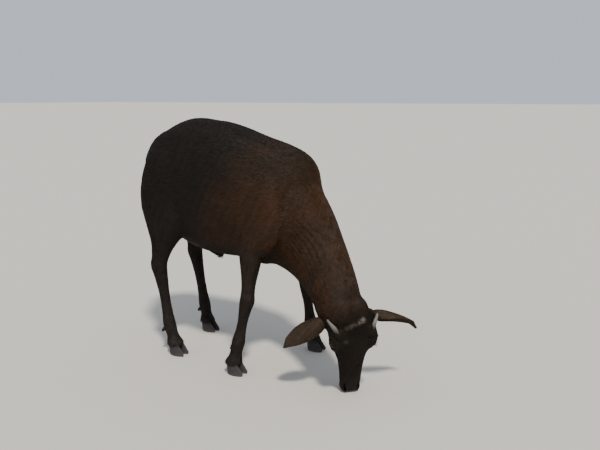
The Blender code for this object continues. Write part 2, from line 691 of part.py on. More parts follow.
def build_claw(name, foot, side, group):
    """One claw: flat sole, sloping toe wall, and a flat top where the foot meets it."""
    levels = ((0.000, 0.92, 0.90, 0.003), (0.006, 1.00, 1.00, 0.003), (0.018, 0.86, 1.00, -0.002),
              (CORONET_HEIGHT - GAP, 0.72, 0.92, -0.008))  # height, length, width, shift along
    centre = foot[1] + side * 0.5 * (CLAW_WIDTH + CLEFT) * 0.93
    points, faces = [], []
    for height, long, wide, shift in levels:
        for along, reach in claw_outline(long * CLAW_LENGTH, wide * CLAW_WIDTH, side):
            points.append((foot[0] + shift + along, centre + reach, height))
    count = len(points) // len(levels)
    for i in range(len(levels) - 1):
        for k in range(count):
            j = (k + 1) % count
            faces.append((i * count + k, i * count + j, (i + 1) * count + j, (i + 1) * count + k))
    faces.append(tuple(range(count)))
    faces.append(tuple(range(len(points) - count, len(points))))
    return mesh_object(name, points, faces, group)


def build_dewclaw(name, leg, side, grow, group):
    """A small blunt horn behind the fetlock, sunk into it by its first row."""
    base = Vector(LEGS[leg][2]) + Vector((-0.010, side * 0.0085, -0.010))
    way = Vector((-0.62, side * 0.18, -0.76)).normalized()
    rows = []
    for along, radius in ((-0.004 - grow, 0.0046), (0.004, 0.0046), (0.0085, 0.0034)):
        rows.append((*(base + along * way), radius + grow, radius + grow, radius + grow))
    return loft(name, rows, LEFT, group, segments=7, steps=1, domes=(0, 0.8))


def build_flesh(group):
    build_trunk(group)
    build_neck(group)
    for name in LEGS:
        build_leg(name, group)
    build_groin(group)
    build_head(group)


def join_flesh(forms, group):
    """All forms as one body, its hollows between them filled and rounded."""
    pieces = list(forms.objects)
    flesh = pieces[0]
    forms.objects.unlink(flesh)
    group.objects.link(flesh)
    boolean(flesh, "UNION", forms)
    remove_all(forms)
    step = flesh.modifiers.new("even", "REMESH")
    step.mode = "VOXEL"
    step.voxel_size = VOXEL
    apply_modifiers(flesh)
    for name, rounds, low in (("soften", SMOOTH_ROUNDS, -1.0), ("blend", BLEND_ROUNDS, BLEND_ABOVE)):
        share = flesh.vertex_groups.new(name=name)
        for vert in flesh.data.vertices:
            above = min(1.0, max(0.0, (vert.co.z - low) / 0.05))
            behind = min(1.0, max(0.0, (0.30 - vert.co.x) / 0.05)) if low > 0 else 1.0
            share.add([vert.index], above * behind, "REPLACE")
        step = flesh.modifiers.new(name, "SMOOTH")
        step.factor = 0.5
        step.iterations = rounds
        step.vertex_group = name
        apply_modifiers(flesh)
    return keep_largest(flesh)


NECK_PLANES = (((0.205, 0, 0.370), (-0.86, 0, 0.51)), ((0.186, 0, 0.235), (-0.97, 0, -0.22)))
HEAD_PLANES = ((head_point(-0.012, 0, -0.045), (-HEAD_ALONG - 0.6 * HEAD_UP)),)
HEAD_ROOM = (((0, 0, 0.33), (0, 0, 1)), ((0.25, 0, 0), (-1, 0, 0)))
SCROTUM_PLANES = (((-0.16, 0, 0.322), (0.05, 0, 1)), ((0, 0.028, 0.30), (0, 1, 0.15)),
                  ((0, -0.028, 0.30), (0, -1, 0.15)), ((-0.118, 0, 0.30), (1, 0, 0)))


def leg_planes(name):
    side = 1 if name.endswith("left") else -1
    if "front" in name:
        return (((0.11, 0, 0.300), (0.10, 0, 1)), ((0, side * 0.048, 0.300), (0, -side, -0.18)),
                ((0.052, 0, 0.30), (-1, 0, 0.25)), ((0.230, 0, 0.05), (1, 0, 0.30)))
    return (((-0.15, 0, 0.395), (0.22, 0, 1)), ((0, side * 0.0295, 0.300), (0, -side, 0.02)),
            ((-0.050, 0, 0.30), (1, 0, 0.45)), ((-0.32, 0, 0), (-1, 0, 0)))


def split(rest, name, planes, group, cutters):
    """The part of rest inside the planes as a body of its own, with the gap around it."""
    piece = copy_of(rest, name, group)
    boolean(piece, "INTERSECT", region(name + "_inside", planes, cutters, -0.5 * GAP))
    boolean(rest, "DIFFERENCE", region(name + "_outside", planes, cutters, 0.5 * GAP))
    return piece


def centre_on_origin(animal):
    """All nodes moved so that the origin is on the floor below the middle of their bounding box."""
    points = np.array([vert.co for obj in animal.objects for vert in obj.data.vertices])
    middle = 0.5 * (points.min(axis=0) + points.max(axis=0))
    for obj in animal.objects:
        obj.data.transform(Matrix.Translation((-middle[0], -middle[1], 0)))


def main():
    clear_scene()
    animal = new_collection("cameroon_sheep")
    forms = new_collection("forms")
    cutters = new_collection("cutters", hidden=True)
    looks = {name: material(name) for name in MATERIALS}
    build_flesh(forms)
    torso = join_flesh(forms, animal)
    floor = [((0, 0, CORONET_HEIGHT), (0, 0, -1)), ((0, 0, 2), (0, 0, 1))]

    head = split(torso, "head", HEAD_PLANES + HEAD_ROOM, animal, cutters)
    thin_out(head, HEAD_TRIANGLES)
    thin_out(torso, BODY_TRIANGLES)
    legs = {}
    for name in LEGS:
        legs[name] = split(torso, name, leg_planes(name), animal, cutters)
        boolean(legs[name], "INTERSECT", region(name + "_foot", floor, cutters))
    for name, planes in (("neck", NECK_PLANES), ("scrotum", SCROTUM_PLANES)):
        finish_node(split(torso, name, planes, animal, cutters), name, looks["coat"], animal)
    boolean(torso, "DIFFERENCE", build_tail("dock", GAP, cutters))
    finish_node(torso, "torso", looks["coat"], animal)
    finish_node(build_tail("tail", 0, animal), "tail", looks["coat"], animal)
    cut_mouth(head, cutters)
    for name, side in SIDES.items():
        cut_ear_root(head, side, cutters)
        cut_eye(head, side, cutters)
        cut_nostril(head, side, cutters)
        boolean(head, "DIFFERENCE", build_horn("horn_seat", side, GAP, cutters))
        finish_node(build_eye("eye", side, EYE_RADIUS, animal), f"eye_{name}", looks["eye"], animal)
        finish_node(build_horn("horn", side, 0, animal), f"horn_{name}", looks["horn"], animal)
        finish_node(build_ear("ear", side, animal, cutters), f"ear_{name}", looks["face"], animal)
    boolean(head, "DIFFERENCE", region("ground", (((0, 0, 0), (0, 0, 1)),), cutters))
    finish_node(head, "head", looks["face"], animal)
    for leg, body in legs.items():
        foot = LEGS[leg][3]
        for name, side in SIDES.items():
            boolean(body, "DIFFERENCE", build_dewclaw("seat", leg, side, GAP, cutters))
            dewclaw = build_dewclaw("dewclaw", leg, side, 0, animal)
            finish_node(dewclaw, f"dewclaw_{leg[4:]}_{name}", looks["hoof"], animal)
            claw = build_claw("claw", foot, side, animal)
            finish_node(claw, f"claw_{leg[4:]}_{name}", looks["hoof"], animal)
        finish_node(body, leg, looks["coat"], animal)
    remove_all(cutters)
    centre_on_origin(animal)


main()
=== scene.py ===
"""Looks of the grazing Cameroon ram: one skin, a short coat of fine tufts, eyes, horns and hooves.

Metres, +Z up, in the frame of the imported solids. The skin is grown from the solids of flesh, smoothed,
given its folds and lids, and sunk by the depth of the coat, whose tufts follow the lie of the hair.
"""
import json
import math

import bmesh
import bpy
import numpy as np
from mathutils import Matrix, Vector
from mathutils.bvhtree import BVHTree

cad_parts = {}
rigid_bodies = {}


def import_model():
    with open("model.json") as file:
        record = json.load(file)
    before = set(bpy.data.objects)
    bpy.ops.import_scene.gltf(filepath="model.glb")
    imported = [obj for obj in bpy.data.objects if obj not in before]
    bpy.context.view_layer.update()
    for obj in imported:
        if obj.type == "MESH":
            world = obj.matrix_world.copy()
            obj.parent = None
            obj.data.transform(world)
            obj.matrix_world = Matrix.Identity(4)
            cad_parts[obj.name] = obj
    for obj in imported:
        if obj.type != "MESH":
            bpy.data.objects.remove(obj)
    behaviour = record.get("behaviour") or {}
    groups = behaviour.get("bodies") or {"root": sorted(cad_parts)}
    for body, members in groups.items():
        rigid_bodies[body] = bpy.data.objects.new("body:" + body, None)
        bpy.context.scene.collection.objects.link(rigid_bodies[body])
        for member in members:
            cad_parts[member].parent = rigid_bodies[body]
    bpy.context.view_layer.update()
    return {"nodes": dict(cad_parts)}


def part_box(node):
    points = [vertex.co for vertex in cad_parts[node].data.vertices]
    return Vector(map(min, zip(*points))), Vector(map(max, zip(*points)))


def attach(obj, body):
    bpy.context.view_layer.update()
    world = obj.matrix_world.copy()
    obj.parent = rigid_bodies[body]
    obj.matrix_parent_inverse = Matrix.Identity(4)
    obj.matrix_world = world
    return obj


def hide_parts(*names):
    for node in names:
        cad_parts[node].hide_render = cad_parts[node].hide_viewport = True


# Photo camera, in the frame in which the solids were drawn, and the light
CAMERA_PLACE = Vector((0.893, -1.270, 0.626))
CAMERA_YAW = math.radians(29.15)
CAMERA_PITCH = math.radians(11.14)
CAMERA_LENS = 39.0
SENSOR = 36.0
SUN_AZIMUTH = math.radians(-48)
SUN_HEIGHT = math.radians(55)
SUN_STRENGTH = 3.6
SUN_SPREAD = math.radians(6)
SUN_COLOUR = (1.0, 0.96, 0.90)
SKY_STRENGTH = 0.75
SKY_COLOUR = (0.80, 0.88, 1.0, 1)
FLOOR_HALF = 60.0
FLOOR_COLOUR = (0.60, 0.56, 0.50)

# Head, eyes, horns and ears, as in the solids
HEAD_LENGTH = 0.205
HEAD_YAW = math.radians(-48)
HEAD_TUCK = math.radians(10)
HEAD_ROLL = math.radians(3)
MUZZLE = Vector((0.340, -0.060, -0.004))
MUZZLE_DROP = 0.044
EYE_ALONG = 0.063
EYE_SIDE = 0.0380
EYE_UP = -0.0170
EYE_RADIUS = 0.0122
HORN_LENGTH = 0.039
HORN_RADIUS = 0.0062
HORN_ALONG = 0.036
HORN_SIDE = 0.0335
HORN_UP = -0.004
HORN_SUNK = 0.011
EAR_WAYS = {-1: Vector((0.86, 0.50, -0.30)), 1: Vector((0.86, 0.25, 0.00))}
EYE_LOOK = Vector((0.86, 0.22, 0.46))
SLIT_WAY = (-0.15, 1, -0.25)  # from the back corner of the lids to the front one
HORN_WAY = Vector((0.60, -0.70, -0.45))
HORN_ROOT_WAY = Vector((-0.62, 0.38, -0.75))
HORN_HOOK_WAY = (-0.35, 0.25, -0.9)
HORN_HOOK = 0.006  # how far its tip is bent off the straight
EAR_ROOT = Vector((0.022, 0.042, -0.046))
EAR_STEM = 0.006  # from the root on the skull to where the ear's leaf begins
EAR_REACH = 0.100  # from there to just before its tip
SIDES = {"right": -1, "left": 1}

# Skin
VOXEL = 0.0013
OVERLAP = 0.0003  # each solid of flesh is grown by this, which closes the cuts
SKIN_FACES = 185000
SMOOTHING = {"torso": 12, "neck": 12, "head": 5, "tail": 10, "scrotum": 12, "leg": 12, "ear": 4}
BODY_SMOOTHING = 60  # more rounds for torso and neck, whose facets are the largest
EAR_FILL = 0.0095  # radius of the ball that closes the skin about each ear's root
SOCKET_FILL = EYE_RADIUS - 0.0014
DEPTH = {"torso": 0.0022, "neck": 0.0020, "head": 0.0006, "tail": 0.0012, "scrotum": 0.0008,
         "leg": 0.0009, "ear": 0.0002}  # of the skin under the outside of the coat
FLOOR_GAP = 0.0002  # the least height of the skin
WELD = 0.000002  # points nearer than this are one

# Folds of the skin: where they lie, how wide and how high or deep they are
LID_LONG = 0.0110
LID_TALL = 0.0078
# Each fold round the lids: its radius and its width in sizes of their opening, and its height
LID_FOLDS = ((1.12, 0.13, 0.0009), (1.42, 0.12, -0.0007), (1.70, 0.14, 0.0005))
PIT_PAST_EYE = 0.024
PIT_BELOW_EYE = 0.006
PIT_LONG = 0.010
PIT_TALL = 0.005
PIT_DEPTH = 0.0016
CREST_ALONG = 0.098
CREST_UP = -0.044
CREST_LONG = 0.020
CREST_TALL = 0.005
CREST_HEIGHT = 0.0012
COLLAR_RADIUS = 0.0085  # of the raised skin round a horn
COLLAR_WIDTH = 0.0035
COLLAR_HEIGHT = 0.0016
MOUTH_UP = -0.0528
MOUTH_FROM = 0.152
MOUTH_DEPTH = 0.0016
LIP_FROM = 0.188
LIP_UP = -0.050
LIP_GROOVE = 0.0012
LINE_WIDTH = 0.0011  # of the mouth and of the groove in the lip
CREASE_PITCH = 0.012
CREASE_HEIGHT = 0.0011
CORONET_UP = 0.032
CORONET_WIDTH = 0.009
CORONET_SWELL = 0.0030

# Coat
COAT = {  # kind of node: tufts to a cm2, their length, width and lift
    "torso": (61, 0.0115, 0.00085, 0.0019),
    "neck": (72, 0.0105, 0.00080, 0.0018),
    "head": (150, 0.0042, 0.00048, 0.0006),
    "tail": (90, 0.0130, 0.00080, 0.0016),
    "scrotum": (95, 0.0045, 0.00060, 0.0005),
    "leg": (78, 0.0068, 0.00065, 0.0009),
    "ear": (110, 0.0048, 0.00055, 0.0005),
}
MOST_TUFTS = 60000  # in one piece of coat
BLADE_FACES = np.array([(0, 1, 3), (0, 3, 2), (2, 3, 4)])  # of a tuft's two foot, two middle and tip points
PATCH = 0.003  # size of a tuft's place on the map of the coat
BLADE_PATCH = np.array([(-0.5, -0.5), (0.5, -0.5), (-0.5, 0), (0.5, 0), (0, 0.5)]) * PATCH
LENGTHS = (0.70, 1.25)  # least and most, as shares of a tuft's own length, width and lift
WIDTHS = (0.75, 1.25)
LIFTS = (0.35, 1.35)
ROLL = 0.35  # how far tufts turn about their own length, in radians
POLL_ALONG = 0.020
POLL_LONG = 0.018
POLL_WIDE = 0.024
POLL_THINNER = 0.35
POLL_MORE = (0.0070, 0.00030, 0.0030)  # length, width and lift added on the poll
FRINGE_UP = 0.034
FRINGE_WIDTH = 0.008
FRINGE_MORE = (0.0020, 0.00015, 0.0002)  # and over the hooves
EYE_SHORT = 0.022  # radius of the shorter hair round an eye, and at the tip of an ear
TIP_SHORT = 0.030
SHORTER = (0.45, 0.20, 0.60)  # shares of length, width and lift taken off there
LID_BARE = 0.0095
HORN_BARE = 0.0065
NOSE_FROM = 0.192  # along the head, where the bare nose begins
NOSE_UP = -0.046
LASHES = 30  # to an eye
LASH_LONG = 0.0118  # sizes of the arc that they stand on
LASH_TALL = 0.0085
LASH_FREE = 18  # degrees of that arc left free at each end
LASH_LENGTH = 0.0058
LASH_WIDTH = 0.00030
LASH_TONE = -1.5
SEED = 7

# Eyes, horns and hooves
PUPIL_TURN = math.radians(55)
PUPIL_LONG = 0.0052
PUPIL_TALL = 0.0019
IRIS_FROM = 0.0074  # its dark rim begins and ends at these radii
IRIS_TO = 0.0086
FRONT_RADIUS = 0.0080  # of the eye's clear front
FRONT_BULGE = 0.0006
HORN_RINGS = 70
HORN_SEGMENTS = 28
HORN_GROOVES = 0.0024  # from one to the next
HORN_ROUND_FROM = 0.90  # share of its length where its tip begins to close
ROOT_PULL = 0.0022  # how much further a horn's root goes in than its solid's
HOOF_VOXEL = 0.0010
HOOF_ROUNDS = 6
CLAW_DRAWN_IN = 0.14  # share by which a claw narrows to its top
CLAW_NARROW_FROM = 0.008
CLAW_NARROW_OVER = 0.022

# Ways of the head: up out of the face, along to the muzzle, and to its left
UP = Vector((0, 0, 1))
FACE = Vector((math.cos(HEAD_YAW), math.sin(HEAD_YAW), 0))
HEAD_UP = math.cos(HEAD_TUCK) * FACE - math.sin(HEAD_TUCK) * UP
HEAD_DOWN = -math.cos(HEAD_TUCK) * UP - math.sin(HEAD_TUCK) * FACE
HEAD_ALONG = Matrix.Rotation(HEAD_ROLL, 3, HEAD_UP) @ HEAD_DOWN
HEAD_LEFT = HEAD_UP.cross(HEAD_ALONG)
COAT_AXES = {"torso": (1, 0, 0), "neck": (0.72, -0.40, -0.57), "head": HEAD_ALONG}  # of the coat's map


def new_scene():
    for obj in list(bpy.data.objects):
        bpy.data.objects.remove(obj, do_unlink=True)


def head_way(way, side):
    """A direction of the head's frame, mirrored for the right side."""
    return (side * way[0] * HEAD_LEFT + way[1] * HEAD_ALONG + way[2] * HEAD_UP).normalized()


def head_point(along, side, up):
    return POLL + along * HEAD_ALONG + side * HEAD_LEFT + up * HEAD_UP


def kind_of(node):
    return next(kind for kind in COAT if node.startswith(kind))


def ear_way(side):
    return head_way(EAR_WAYS[side], side)


def side_of(node):
    """-1 or 1, from a node's last word."""
    return SIDES[node.rsplit("_", 1)[1]]


def eye_frame(side):
    """The way an eye looks, the way its lids' slit runs, and the way across both."""
    look = head_way(EYE_LOOK, side)
    slit = head_way(SLIT_WAY, side)
    slit = (slit - slit.dot(look) * look).normalized()
    return look, slit, look.cross(slit)


# Meshes

def new_object(name, data):
    obj = bpy.data.objects.new(name, data)
    bpy.context.scene.collection.objects.link(obj)
    return obj


def mesh_object(name, points, faces, look, smooth=True):
    mesh = bpy.data.meshes.new(name)
    mesh.from_pydata([tuple(p) for p in points], [], faces)
    mesh.update()
    mesh.materials.append(look)
    if smooth:
        mesh.shade_smooth()
    return new_object(name, mesh)


def mesh_of(name, made):
    """The mesh that a bmesh makes, which is then freed."""
    mesh = bpy.data.meshes.new(name)
    made.to_mesh(mesh)
    made.free()
    return mesh


def welded(mesh):
    made = bmesh.new()
    made.from_mesh(mesh)
    bmesh.ops.remove_doubles(made, verts=made.verts, dist=WELD)
    return made


def voxel_remesh(obj, size):
    step = obj.modifiers.new("even", "REMESH")
    step.mode = "VOXEL"
    step.voxel_size = size
    return apply_modifiers(obj)


def apply_modifiers(obj):
    graph = bpy.context.evaluated_depsgraph_get()
    mesh = bpy.data.meshes.new_from_object(obj.evaluated_get(graph))
    obj.modifiers.clear()
    obj.data = mesh
    return obj


def points_of(mesh):
    points = np.empty(len(mesh.vertices) * 3, np.float32)
    mesh.vertices.foreach_get("co", points)
    return points.reshape(-1, 3).astype(float)


def normals_of(mesh):
    normals = np.empty(len(mesh.vertices) * 3, np.float32)
    mesh.vertex_normals.foreach_get("vector", normals)
    return normals.reshape(-1, 3).astype(float)


def set_points(mesh, points):
    mesh.vertices.foreach_set("co", points.astype(np.float32).ravel())
    mesh.update()


def edges_of(mesh):
    edges = np.empty(len(mesh.edges) * 2, np.int32)
    mesh.edges.foreach_get("vertices", edges)
    return edges.reshape(-1, 2)


def spread(values, edges, share, rounds):
    """Values at the vertices, each moved by its share to the mean of its neighbours, round by round."""
    values = np.array(values, float)
    a, b = edges[:, 0], edges[:, 1]
    count = len(values)
    near = np.maximum(np.bincount(a, minlength=count) + np.bincount(b, minlength=count), 1)
    for _ in range(rounds):
        for k in range(values.shape[1]):
            total = (np.bincount(a, weights=values[b, k], minlength=count)
                     + np.bincount(b, weights=values[a, k], minlength=count))
            values[:, k] += share * (total / near - values[:, k])
    return values


def even_out(points, edges, rounds):
    """Points smoothed without shrinking, each for its own number of rounds."""
    a, b = edges[:, 0], edges[:, 1]
    count = len(points)
    near = np.maximum(np.bincount(a, minlength=count) + np.bincount(b, minlength=count), 1)
    for step in range(int(rounds.max())):
        active = (rounds > step).astype(float)
        for share in (0.50, -0.51):
            for k in range(3):
                total = (np.bincount(a, weights=points[b, k], minlength=count)
                         + np.bincount(b, weights=points[a, k], minlength=count))
                points[:, k] += active * share * (total / near - points[:, k])
    return points


def nearest_nodes(points, nodes):
    """For each point the index of the solid nearest to it."""
    vertices, faces, owner = [], [], []
    for index, obj in enumerate(nodes):
        start = len(vertices)
        vertices += [v.co.copy() for v in obj.data.vertices]
        for polygon in obj.data.polygons:
            faces.append([start + v for v in polygon.vertices])
            owner.append(index)
    tree = BVHTree.FromPolygons(vertices, faces)
    owner = np.array(owner)
    found = np.array([tree.find_nearest(p)[2] for p in points])
    return owner[found]


# Skin

def raw_skin(nodes, balls):
    """All solids of flesh in one mesh, grown a little, with the sockets and the ears' roots filled."""
    joined = bmesh.new()
    for obj in nodes:
        made = welded(obj.data)
        made.normal_update()
        for vert in made.verts:
            vert.co += OVERLAP * vert.normal
        joined.from_mesh(mesh_of("piece", made))
    for centre, radius in balls:
        ball = Matrix.Translation(centre)
        bmesh.ops.create_uvsphere(joined, u_segments=24, v_segments=16, radius=radius, matrix=ball)
    return voxel_remesh(new_object("skin", mesh_of("skin", joined)), VOXEL)


def bump(value, centre, width):
    """1 at the centre, falling to 0 over a few widths."""
    return np.exp(-((value - centre) / width) ** 2)


def head_coordinates(points):
    """Along, side and up of each point in the head's frame."""
    away = points - np.array(POLL)
    return away @ np.array(HEAD_ALONG), away @ np.array(HEAD_LEFT), away @ np.array(HEAD_UP)


def sculpt(points, normals, is_head, is_neck, is_leg):
    """The skin's own folds: lids, tear pit, nose, lips, coronets and the creases of the neck."""
    along, side, up = head_coordinates(points)
    push = np.zeros(len(points))
    for sign in SIDES.values():
        look, slit, over = (np.array(way) for way in eye_frame(sign))
        away = points - np.array(eye_centre(sign))
        a, b, out = away @ slit, away @ over, away @ look
        front = (out > 0.002) & (np.abs(a) < 0.03) & (np.abs(b) < 0.03)
        ring = np.sqrt((a / LID_LONG) ** 2 + (b / LID_TALL) ** 2)
        for radius, width, height in LID_FOLDS:
            push += front * height * bump(ring, radius, width)
        pit = (along - EYE_ALONG - PIT_PAST_EYE) ** 2 / PIT_LONG ** 2
        pit = pit + (up - EYE_UP + PIT_BELOW_EYE) ** 2 / PIT_TALL ** 2
        push -= PIT_DEPTH * np.exp(-pit) * (side * sign > 0.010)
        crest = (along - CREST_ALONG) ** 2 / CREST_LONG ** 2 + (up - CREST_UP) ** 2 / CREST_TALL ** 2
        push += CREST_HEIGHT * np.exp(-crest) * (side * sign > 0.008)
        horn = np.linalg.norm(points - np.array(horn_base(sign)), axis=1)
        push += COLLAR_HEIGHT * bump(horn, COLLAR_RADIUS, COLLAR_WIDTH)
    push -= MOUTH_DEPTH * bump(up, MOUTH_UP, LINE_WIDTH) * is_head * (along > MOUTH_FROM)
    push -= LIP_GROOVE * bump(side, 0, LINE_WIDTH) * is_head * (along > LIP_FROM) * (up > LIP_UP)
    x, y, z = points.T
    phase = (0.62 * x - 0.30 * y + 0.72 * z) * 2 * math.pi / CREASE_PITCH
    crease = np.sin(phase + 2.2 * np.sin(z * 38) + 1.5 * np.sin(y * 55))
    where = bump(z, 0.30, 0.055) * bump(x, 0.15, 0.06)
    push += is_neck * where * CREASE_HEIGHT * crease
    push += is_leg * CORONET_SWELL * bump(z, CORONET_UP, CORONET_WIDTH)
    return points + push[:, None] * normals


def weigh(obj, name, values):
    """A vertex group of the values, in steps of a tenth."""
    group = obj.vertex_groups.new(name=name)
    steps = np.round(values * 10).astype(int)
    for step in range(11):
        group.add(np.flatnonzero(steps == step).tolist(), step / 10, "REPLACE")


def smooth_more(obj, values, rounds):
    weigh(obj, "smooth", values)
    step = obj.modifiers.new("smooth", "SMOOTH")
    step.factor = 0.5
    step.iterations = rounds
    step.vertex_group = "smooth"
    apply_modifiers(obj)


def build_skin(nodes, look):
    balls = [(eye_centre(side), SOCKET_FILL) for side in SIDES.values()]
    balls += [(ear_root(side), EAR_FILL) for side in SIDES.values()]
    obj = raw_skin(nodes, balls)
    mesh = obj.data
    points, edges = points_of(mesh), edges_of(mesh)
    owner = nearest_nodes(points, nodes)
    kinds = [kind_of(node.name) for node in nodes]
    rounds = np.array([SMOOTHING[kind] for kind in kinds], float)[owner]
    rounds = spread(rounds[:, None], edges, 0.5, 40)[:, 0]
    points = even_out(points, edges, rounds)
    set_points(mesh, points)
    is_body = np.array([kind in ("torso", "neck") for kind in kinds], float)[owner]
    is_body = spread(is_body[:, None], edges, 0.5, 40)[:, 0]
    smooth_more(obj, is_body, BODY_SMOOTHING)
    mesh = obj.data
    is_head = np.array([kind == "head" for kind in kinds], float)[owner]
    is_neck = np.array([kind in ("neck", "torso") for kind in kinds], float)[owner]
    is_leg = np.array([kind == "leg" for kind in kinds], float)[owner]
    soft = spread(np.column_stack([is_head, is_neck, is_leg]), edges, 0.5, 20)
    points = sculpt(points_of(mesh), normals_of(mesh), *soft.T)
    set_points(mesh, points)
    depth = np.array([DEPTH[kind] for kind in kinds])[owner]
    depth = spread(depth[:, None], edges, 0.5, 30)[:, 0]
    points = points - depth[:, None] * normals_of(mesh)
    points[:, 2] = np.maximum(points[:, 2], FLOOR_GAP)
    set_points(mesh, points)
    obj.vertex_groups.clear()
    body = np.array([kind not in ("head", "ear") for kind in kinds], float)[owner]
    weigh(obj, "body", body)
    step = obj.modifiers.new("thin", "DECIMATE")
    step.ratio = SKIN_FACES / (2 * len(mesh.polygons))
    step.vertex_group = "body"
    step.vertex_group_factor = 2.0
    step.use_collapse_triangulate = True
    apply_modifiers(obj)
    obj.data.shade_smooth()
    obj.data.materials.append(look)
    return obj


# Coat

def lie_of(kind, name, points, normals):
    """The way the hair lies, before it is laid along the skin."""
    x, y, _ = points.T
    ways = np.zeros_like(points)
    if kind == "torso":
        ways[:, 0] = -1
        ways[:, 2] = -0.35 * np.clip(np.abs(y - SHIFT.y) / 0.08, 0, 1)  # down the flanks
        ways[:, 2] -= 1.5 * np.clip((-0.26 - x) / 0.06, 0, 1)  # and down the rump
    elif kind == "neck":
        ways[:] = (-0.66, 0.34, 0.42)
        ways[:, 2] -= 0.30 * np.clip(np.abs(normals[:, 1]), 0, 1)
    elif kind == "head":
        ways[:] = np.array(-HEAD_ALONG)
    elif kind == "ear":
        ways[:] = np.array(ear_way(side_of(name)))
    elif kind == "leg":
        ways[:] = (-0.18, 0, -1)
    else:
        ways[:] = (-0.1, 0, -1)
    return ways


def build_coat(skin, nodes, look):
    """One piece of coat for each solid of flesh, its tufts rooted on the skin."""
    mesh = skin.data
    mesh.calc_loop_triangles()
    points, normals, edges = points_of(mesh), normals_of(mesh), edges_of(mesh)
    owner = nearest_nodes(points, nodes)
    kinds = [kind_of(node.name) for node in nodes]
    ways = np.zeros_like(points)
    for index, node in enumerate(nodes):
        mine = owner == index
        ways[mine] = lie_of(kinds[index], node.name, points[mine], normals[mine])
    ways = spread(ways, edges, 0.6, 60)
    sizes = np.array([COAT[kind] for kind in kinds])[owner]
    sizes = local_sizes(points, spread(sizes, edges, 0.6, 25))
    bare = bareness(points)
    triangles = np.empty(len(mesh.loop_triangles) * 3, np.int32)
    mesh.loop_triangles.foreach_get("vertices", triangles)
    triangles = triangles.reshape(-1, 3)
    a, b, c = (points[triangles[:, k]] for k in range(3))
    area = 0.5 * np.linalg.norm(np.cross(b - a, c - a), axis=1)
    tree = BVHTree.FromPolygons([tuple(p) for p in points], [tuple(t) for t in triangles.tolist()])
    rng = np.random.default_rng(SEED)
    want = area * 1e4 * sizes[triangles, 0].mean(axis=1) * (1 - bare[triangles].max(axis=1))
    count = np.floor(want + rng.random(len(want))).astype(int)
    face = np.repeat(np.arange(len(want)), count)
    u, v = rng.random(len(face)), rng.random(len(face))
    flip = u + v > 1
    u[flip], v[flip] = 1 - u[flip], 1 - v[flip]
    weights = np.column_stack([1 - u - v, u, v])
    corners = triangles[face]

    def read(values):
        return (values[corners] * weights[..., None]).sum(axis=1)

    root, up, way, size = read(points), read(normals), read(ways), read(sizes)
    node_of = owner[corners[np.arange(len(face)), weights.argmax(axis=1)]]
    pieces = []
    for index, node in enumerate(nodes):
        mine = node_of == index
        pieces += lay_tufts("coat_" + node.name, node, root[mine], up[mine], way[mine], size[mine],
                            tree, rng, look)
    return pieces


def local_sizes(points, sizes):
    """Longer, rougher hair on the poll and over each hoof, shorter round the eyes and at the ears' tips."""
    along, side, up = head_coordinates(points)
    poll = bump(along, POLL_ALONG, POLL_LONG) * bump(side, 0, POLL_WIDE) * (up > -0.03)
    fringe = bump(points[:, 2], FRINGE_UP, FRINGE_WIDTH) * (np.linalg.norm(points - np.array(POLL), axis=1) > 0.22)
    short = np.zeros(len(points))
    for sign in SIDES.values():
        tip = ear_root(sign) + EAR_REACH * ear_way(sign)
        for centre, radius in ((eye_centre(sign), EYE_SHORT), (tip, TIP_SHORT)):
            away = np.linalg.norm(points - np.array(centre), axis=1)
            short = np.maximum(short, bump(away, 0, radius))
    sizes = sizes.copy()
    sizes[:, 0] *= 1 - POLL_THINNER * poll
    for k in range(3):
        sizes[:, k + 1] += POLL_MORE[k] * poll + FRINGE_MORE[k] * fringe
        sizes[:, k + 1] *= 1 - SHORTER[k] * short
    return sizes


def bareness(points):
    """1 where no hair grows: between the lids, in the nostrils, on the nose and between the lips."""
    along, _, up = head_coordinates(points)
    bare = np.zeros(len(points))
    for sign in SIDES.values():
        look = np.array(head_way(EYE_LOOK, sign))
        away = points - np.array(eye_centre(sign))
        out = away @ look
        across = np.linalg.norm(away - out[:, None] * look, axis=1)
        bare = np.maximum(bare, (out > 0.003) & (across < LID_BARE))
        horn = np.linalg.norm(points - np.array(horn_base(sign)), axis=1)
        bare = np.maximum(bare, horn < HORN_BARE)
    return np.maximum(bare, (along > NOSE_FROM) & (up > NOSE_UP))


